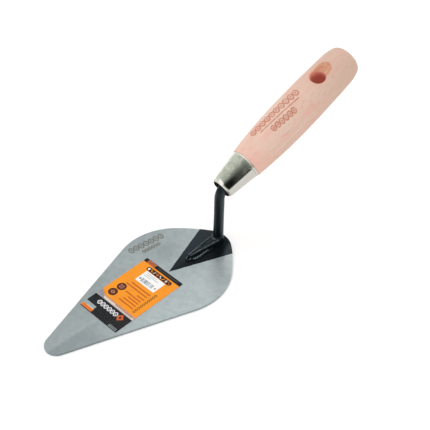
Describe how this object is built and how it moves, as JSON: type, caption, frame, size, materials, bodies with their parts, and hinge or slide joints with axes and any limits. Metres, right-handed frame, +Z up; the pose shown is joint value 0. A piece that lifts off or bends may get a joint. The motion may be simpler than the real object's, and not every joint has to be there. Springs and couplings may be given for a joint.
{
  "type": "brick trowel",
  "caption": "Pointed brick trowel: flat steel blade with a black wedge-shaped heel, welded gooseneck tang, plated ferrule, turned wooden handle with a hanging hole, paper label on the blade.",
  "frame": {"origin": "point of the blade's underside straight below the tang's shank", "axes": "+Z up, normal to the blade; the blade's point is toward -Y and the handle leans back and up toward +Y; X across the blade; YZ is the plane of symmetry"},
  "size_m": [0.078, 0.266, 0.1032],
  "materials": {
    "blade_steel": "ground and brushed, clear-oiled",
    "black_paint": "gloss black enamel",
    "ferrule_plate": "bright nickel plate",
    "handle_wood": "turned beech, thin clear lacquer",
    "label_paper": "printed gloss paper, orange and black",
    "sticker_paper": "white paper with a printed bar pattern"
  },
  "bodies": {
    "root": {"blade": "blade_steel", "heel_coat": "black_paint", "tang": "black_paint", "weld_beads": "black_paint", "ferrule": "ferrule_plate", "handle": "handle_wood", "blade_label": "label_paper", "printed_sticker": "sticker_paper"}
  },
  "joints": []
}
